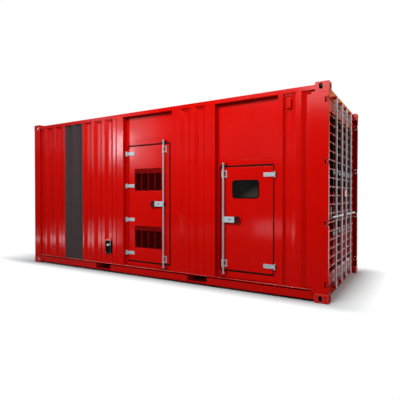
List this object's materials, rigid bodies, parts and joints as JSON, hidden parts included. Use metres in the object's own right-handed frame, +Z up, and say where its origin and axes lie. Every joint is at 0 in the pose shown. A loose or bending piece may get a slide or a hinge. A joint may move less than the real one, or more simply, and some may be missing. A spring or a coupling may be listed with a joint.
{
  "type": "containerised generator set enclosure",
  "caption": "Red steel high-cube container for a generator set, with corrugated walls, recessed service doors in one long side and louvred double doors with lock rods in one end.",
  "frame": {"origin": "middle of the footprint, on the undersides of the bottom corner castings", "axes": "+X towards the louvred double doors, -Y towards the side with the service doors, +Z up"},
  "size_m": [6.058, 2.438, 2.896],
  "materials": {
    "red_paint": "semi-gloss red enamel on steel",
    "dark_red_paint": "shaded red enamel on thin slats",
    "zinc": "dull zinc plating",
    "deck_grey": "matt grey deck coating",
    "black_plastic": "matt black plastic",
    "window_glass": "dark tinted glass"
  },
  "bodies": {
    "enclosure": {"corner_castings_bottom": "red_paint", "corner_castings_top": "red_paint", "front_end_posts": "red_paint", "door_end_posts": "red_paint", "bottom_side_rails": "red_paint", "top_side_rails": "red_paint", "front_end_rails": "red_paint", "door_sill": "red_paint", "door_header": "red_paint", "underframe": "red_paint", "floor_deck": "deck_grey", "roof_panel": "red_paint", "front_end_wall": "red_paint", "back_wall": "red_paint", "side_wall_left": "red_paint", "side_wall_middle": "red_paint", "side_wall_right": "red_paint", "bay_pillars": "red_paint", "bay_1_frame": "red_paint", "bay_1_upper_panel": "red_paint", "bay_2_frame": "red_paint", "bay_2_upper_panel": "red_paint", "service_hinge_lugs": "zinc", "cam_keepers": "red_paint", "emergency_stop_box": "black_plastic", "ventilator": "red_paint"},
    "service_door_1": {"service_door_1_leaf": "red_paint", "service_door_1_grilles": "dark_red_paint", "service_door_1_fittings": "zinc"},
    "service_lock_1": {"service_door_1_lock_rod": "zinc"},
    "service_door_2": {"service_door_2_leaf": "red_paint", "service_door_2_window": "window_glass", "service_door_2_fittings": "zinc"},
    "service_lock_2": {"service_door_2_lock_rod": "zinc"},
    "end_door_left": {"end_door_left_frame": "red_paint", "end_door_left_louvres": "red_paint", "end_door_left_guides": "zinc"},
    "end_lock_left_outer": {"end_door_left_rod_outer": "zinc"},
    "end_lock_left_inner": {"end_door_left_rod_inner": "zinc"},
    "end_door_right": {"end_door_right_frame": "red_paint", "end_door_right_louvres": "red_paint", "end_door_right_guides": "zinc"},
    "end_lock_right_outer": {"end_door_right_rod_outer": "zinc"},
    "end_lock_right_inner": {"end_door_right_rod_inner": "zinc"}
  },
  "joints": [
    {"name": "service_door_1_hinge", "type": "hinge", "parent": "enclosure", "child": "service_door_1", "pos_m": [-0.493, -1.15, 1.268], "axis": [0, 0, -1], "range_deg": [0, 110]},
    {"name": "service_lock_1_turn", "type": "hinge", "parent": "service_door_1", "child": "service_lock_1", "pos_m": [0.34, -1.165, 1.27], "axis": [0, 0, 1], "range_deg": [0, 100]},
    {"name": "service_door_2_hinge", "type": "hinge", "parent": "enclosure", "child": "service_door_2", "pos_m": [2.28, -1.15, 1.063], "axis": [0, 0, 1], "range_deg": [0, 110]},
    {"name": "service_lock_2_turn", "type": "hinge", "parent": "service_door_2", "child": "service_lock_2", "pos_m": [1.473, -1.165, 1.05], "axis": [0, 0, -1], "range_deg": [0, 100]},
    {"name": "end_door_left_hinge", "type": "hinge", "parent": "enclosure", "child": "end_door_left", "pos_m": [3.006, -1.196, 1.45], "axis": [0, 0, 1], "range_deg": [-260, 0]},
    {"name": "end_lock_left_outer_turn", "type": "hinge", "parent": "end_door_left", "child": "end_lock_left_outer", "pos_m": [3.001, -0.596, 1.118], "axis": [0, 0, 1], "range_deg": [0, 100]},
    {"name": "end_lock_left_inner_turn", "type": "hinge", "parent": "end_door_left", "child": "end_lock_left_inner", "pos_m": [3.001, -0.183, 1.118], "axis": [0, 0, 1], "range_deg": [0, 100]},
    {"name": "end_door_right_hinge", "type": "hinge", "parent": "enclosure", "child": "end_door_right", "pos_m": [3.006, 1.196, 1.45], "axis": [0, 0, -1], "range_deg": [-260, 0]},
    {"name": "end_lock_right_outer_turn", "type": "hinge", "parent": "end_door_right", "child": "end_lock_right_outer", "pos_m": [3.001, 0.596, 1.118], "axis": [0, 0, -1], "range_deg": [0, 100]},
    {"name": "end_lock_right_inner_turn", "type": "hinge", "parent": "end_door_right", "child": "end_lock_right_inner", "pos_m": [3.001, 0.183, 1.118], "axis": [0, 0, -1], "range_deg": [0, 100]}
  ]
}
